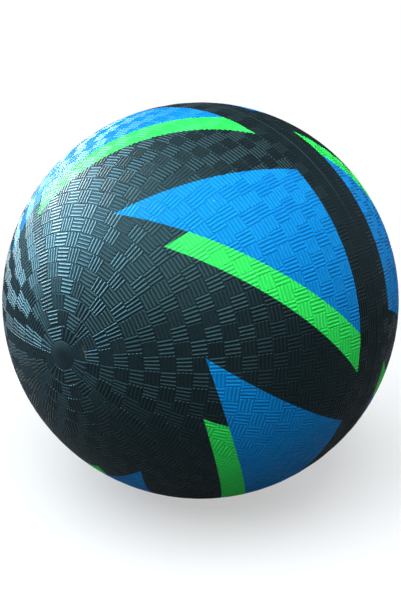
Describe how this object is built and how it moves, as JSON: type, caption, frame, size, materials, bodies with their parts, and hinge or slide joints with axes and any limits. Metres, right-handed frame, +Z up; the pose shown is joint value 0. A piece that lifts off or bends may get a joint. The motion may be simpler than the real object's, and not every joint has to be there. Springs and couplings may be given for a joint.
{
  "type": "light-up soccer ball",
  "caption": "Full-size black rubber soccer ball with blue blades and green bars swirling round each pole, and a pull-out light unit behind a flush plug that flashes when kicked.",
  "frame": {"origin": "centre of the ball", "axes": "+Y along the mould axis, from the front pole out through the light unit's port; +Z up; the valve at -X"},
  "size_m": [0.22, 0.22, 0.22],
  "materials": {
    "black_rubber": "moulded basket weave, satin",
    "blue_rubber": "moulded basket weave, satin",
    "green_rubber": "moulded basket weave, satin",
    "nylon_thread": "wound thread in latex",
    "latex_rubber": "natural, lets light through",
    "valve_rubber": "smooth satin",
    "soft_rubber": "smooth matt",
    "clear_rubber": "milky clear",
    "plug_rubber": "fine matt",
    "black_plastic": "fine spark texture",
    "seal_rubber": "smooth",
    "clear_polycarbonate": "clear gloss",
    "grey_plastic": "moulded matt",
    "cell_steel": "satin nickel",
    "contact_nickel": "rolled bright",
    "circuit_board": "solder mask",
    "screw_steel": "zinc bright",
    "led_epoxy": "clear gloss",
    "chip_epoxy": "moulded matt",
    "brass": "turned bright",
    "spring_steel": "drawn bright"
  },
  "bodies": {
    "ball": {"cover_shell": "black_rubber", "blue_blade_front_1": "blue_rubber", "blue_blade_front_2": "blue_rubber", "blue_blade_front_3": "blue_rubber", "blue_blade_front_4": "blue_rubber", "blue_blade_front_5": "blue_rubber", "blue_blade_rear_1": "blue_rubber", "blue_blade_rear_2": "blue_rubber", "blue_blade_rear_3": "blue_rubber", "blue_blade_rear_4": "blue_rubber", "blue_blade_rear_5": "blue_rubber", "green_bar_front_1": "green_rubber", "green_bar_front_2": "green_rubber", "green_bar_front_3": "green_rubber", "green_bar_front_4": "green_rubber", "green_bar_front_5": "green_rubber", "green_bar_rear_1": "green_rubber", "green_bar_rear_2": "green_rubber", "green_bar_rear_3": "green_rubber", "green_bar_rear_4": "green_rubber", "green_bar_rear_5": "green_rubber", "carcass_layer": "nylon_thread", "air_bladder": "latex_rubber", "valve_housing": "valve_rubber", "valve_core": "soft_rubber", "light_pocket": "clear_rubber"},
    "light_unit": {"port_plug": "plug_rubber", "unit_cap": "black_plastic", "seal_ring": "seal_rubber", "cell_tray": "grey_plastic", "button_cell_1": "cell_steel", "button_cell_2": "cell_steel", "button_cell_3": "cell_steel", "contact_plate_minus": "contact_nickel", "contact_plate_plus": "contact_nickel", "circuit_board": "circuit_board", "board_screw_1": "screw_steel", "board_screw_2": "screw_steel", "led_1": "led_epoxy", "led_2": "led_epoxy", "led_3": "led_epoxy", "control_chip": "chip_epoxy", "switch_pin": "brass"},
    "lens": {"light_lens": "clear_polycarbonate"},
    "switch_coil": {"switch_spring": "spring_steel"}
  },
  "joints": [
    {"name": "unit_slide", "type": "slide", "parent": "ball", "child": "light_unit", "axis": [0, 1, 0], "range_m": [0, 0.0576]},
    {"name": "lens_turn", "type": "hinge", "parent": "light_unit", "child": "lens", "pos_m": [0, 0.07, 0], "axis": [0, 1, 0], "range_deg": [0, 45]},
    {"name": "spring_sway", "type": "hinge", "parent": "light_unit", "child": "switch_coil", "pos_m": [0, 0.0719, 0], "axis": [0, 0, 1], "range_deg": [-7, 7], "stiffness_Nm_per_rad": 0.0002}
  ]
}
